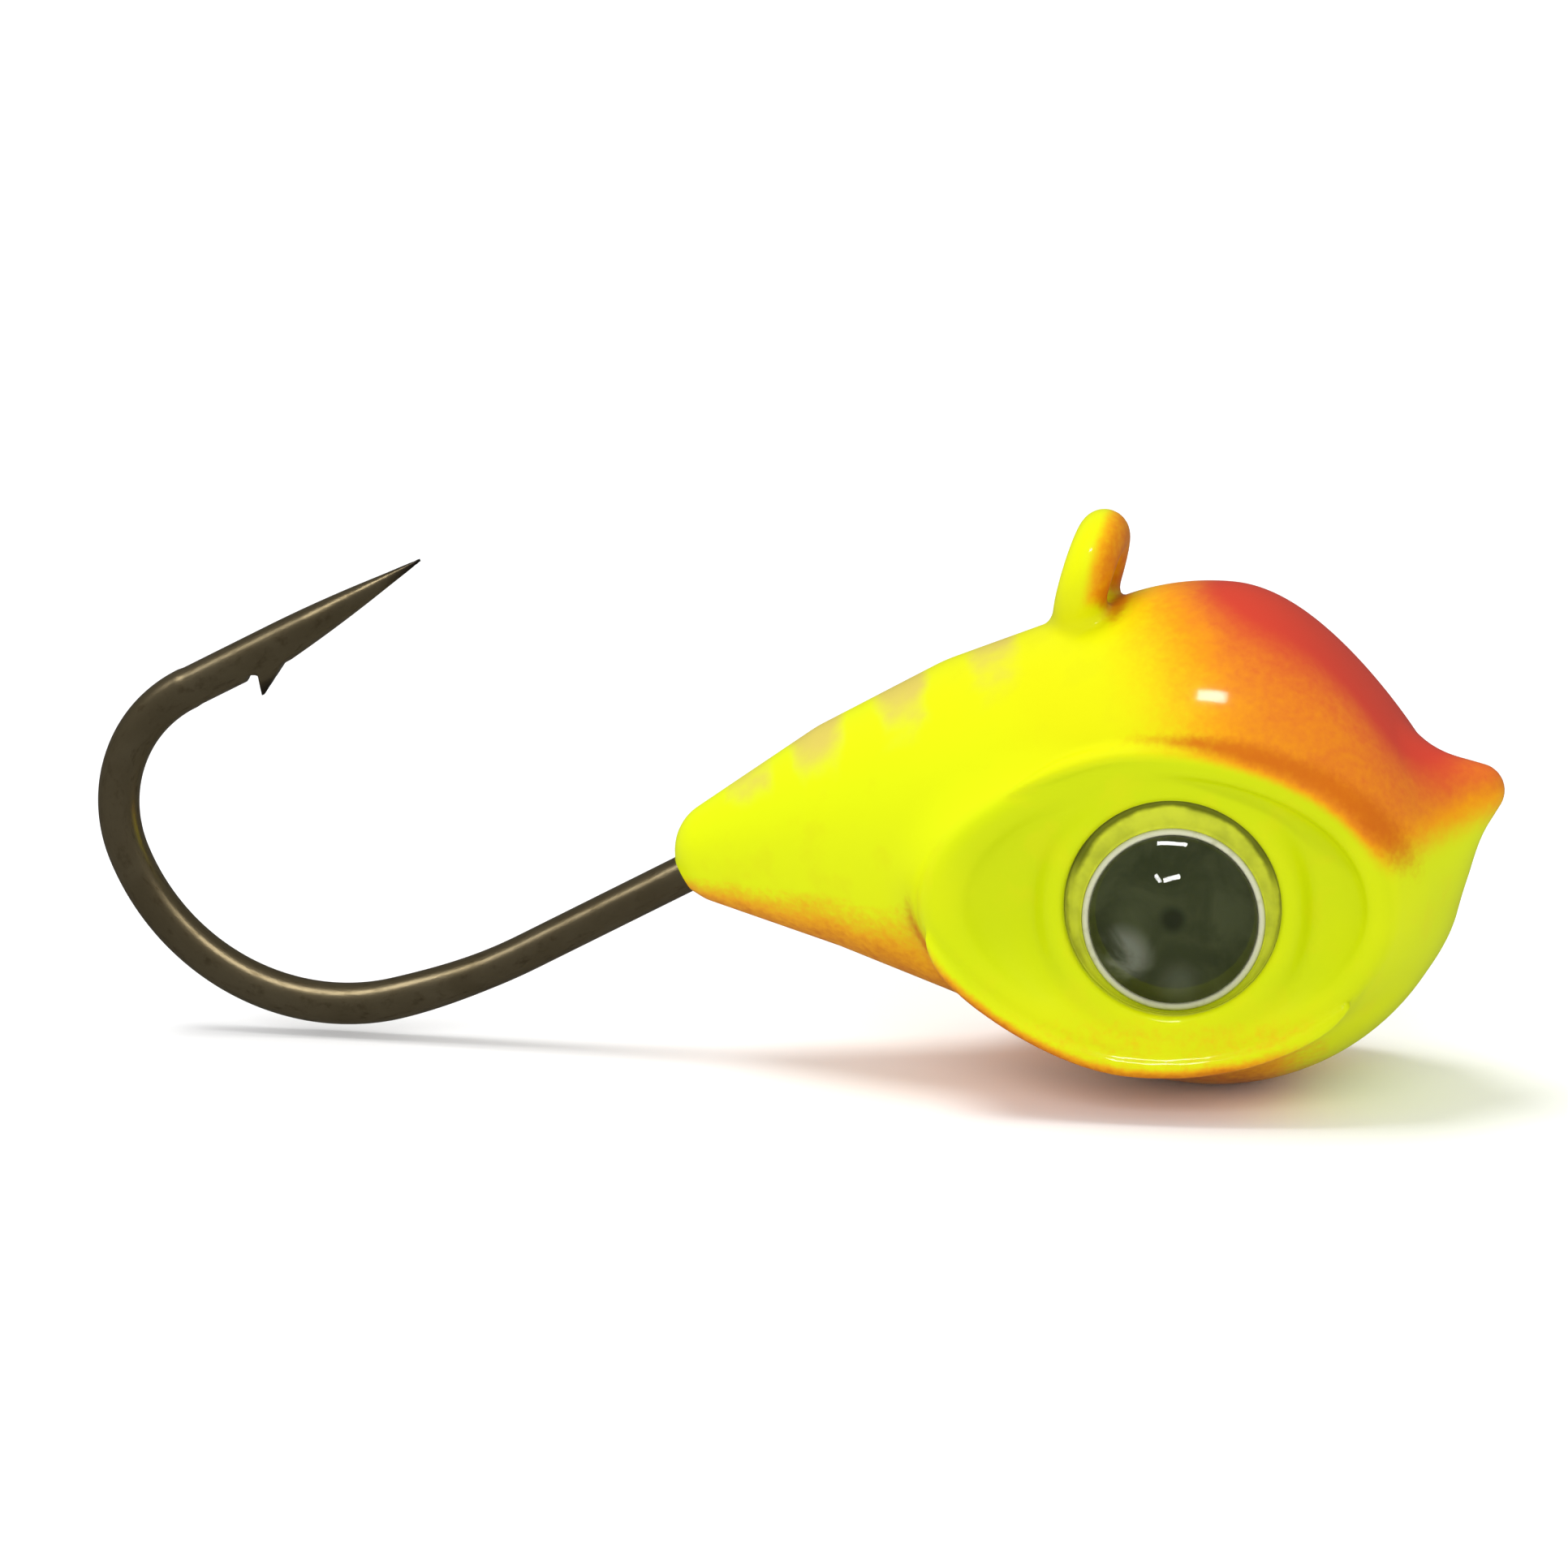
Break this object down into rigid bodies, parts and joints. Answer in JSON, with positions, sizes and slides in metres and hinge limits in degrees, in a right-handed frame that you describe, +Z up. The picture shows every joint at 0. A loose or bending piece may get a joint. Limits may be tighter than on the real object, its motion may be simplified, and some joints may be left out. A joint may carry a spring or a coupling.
{
  "type": "jig head",
  "caption": "Small ice-fishing jig: painted teardrop bird-head weight with a beak, raised eye sockets with domed eyes, line-tie ring and barbed hook.",
  "frame": {"origin": "centre of the hole in the line-tie ring", "axes": "+X towards the nose, +Y to the jig's left, +Z up as the jig hangs from the line; the plane y = 0 is the plane of symmetry and of the hook"},
  "size_m": [0.0204, 0.0062, 0.0081],
  "materials": {
    "painted_casting": "tungsten alloy casting, fluorescent chartreuse paint with orange and red overspray under a gloss clear coat",
    "painted_solder": "solder fill flush with the back, painted over with the casting",
    "bronzed_wire": "high-carbon steel hook wire, bronzed; the ring above the casting is painted",
    "clear_glue": "clear epoxy, slightly greenish, glossy",
    "white_vinyl": "white vinyl sticker backing, its cut edge shows as a pale ring",
    "smoke_foil": "smoke-grey printed eye film with a darker pupil",
    "clear_resin": "clear polyurethane dome, glossy"
  },
  "bodies": {
    "root": {"head_casting": "painted_casting", "hook": "bronzed_wire", "slot_solder": "painted_solder", "right_eye_glue": "clear_glue", "right_eye_backing": "white_vinyl", "right_eye_foil": "smoke_foil", "right_eye_dome": "clear_resin", "left_eye_glue": "clear_glue", "left_eye_backing": "white_vinyl", "left_eye_foil": "smoke_foil", "left_eye_dome": "clear_resin"}
  },
  "joints": []
}
